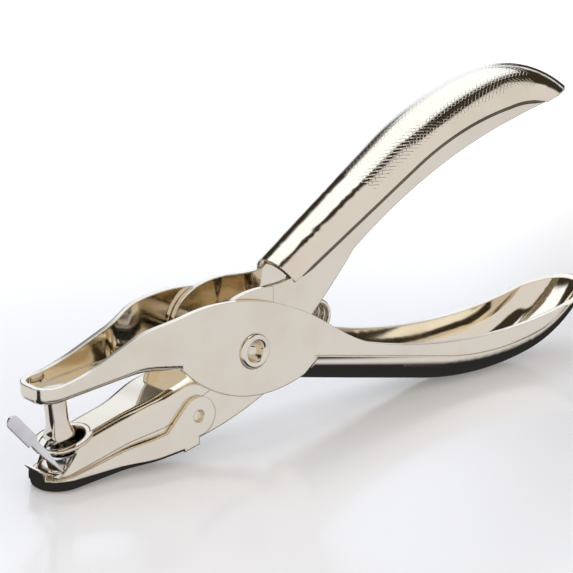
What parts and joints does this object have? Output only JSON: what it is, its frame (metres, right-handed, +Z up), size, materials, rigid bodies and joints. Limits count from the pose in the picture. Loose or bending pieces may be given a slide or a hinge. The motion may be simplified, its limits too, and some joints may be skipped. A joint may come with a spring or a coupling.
{
  "type": "single-hole plier punch",
  "caption": "Hand-held plier punch of plated sheet steel: sprung crossed levers drive a pin through paper into a die over a swing-down chip tray.",
  "frame": {"origin": "centre of the bounding box's underside, on the table it lies on", "axes": "+X from the jaws to the handles, +Y across the tool along the pivot, +Z up"},
  "size_m": [0.1558, 0.0184, 0.0671],
  "materials": {
    "nickel_plate": "warm mirror nickel",
    "bare_steel": "turned",
    "tool_steel": "hardened and ground",
    "spring_steel": "satin"
  },
  "bodies": {
    "punch_lever": {"punch_lever": "nickel_plate", "punch_pin": "tool_steel", "pivot_rivet": "nickel_plate"},
    "die_lever": {"die_lever": "nickel_plate", "die_bush": "tool_steel", "stripper_clip": "spring_steel", "pivot_sleeve": "bare_steel", "return_spring": "spring_steel"},
    "chip_tray": {"chip_tray": "nickel_plate"}
  },
  "joints": [
    {"name": "squeeze", "type": "hinge", "parent": "punch_lever", "child": "die_lever", "pos_m": [-0.02277, 0, 0.01971], "axis": [0, 1, 0], "range_deg": [0, 8], "stiffness_Nm_per_rad": 1.2, "springref_deg": -20.05, "deforming": ["return_spring"]},
    {"name": "tray_hinge", "type": "hinge", "parent": "die_lever", "child": "chip_tray", "pos_m": [-0.03627, 0, 0.00911], "axis": [0, 1, 0], "range_deg": [-60, 0]}
  ]
}
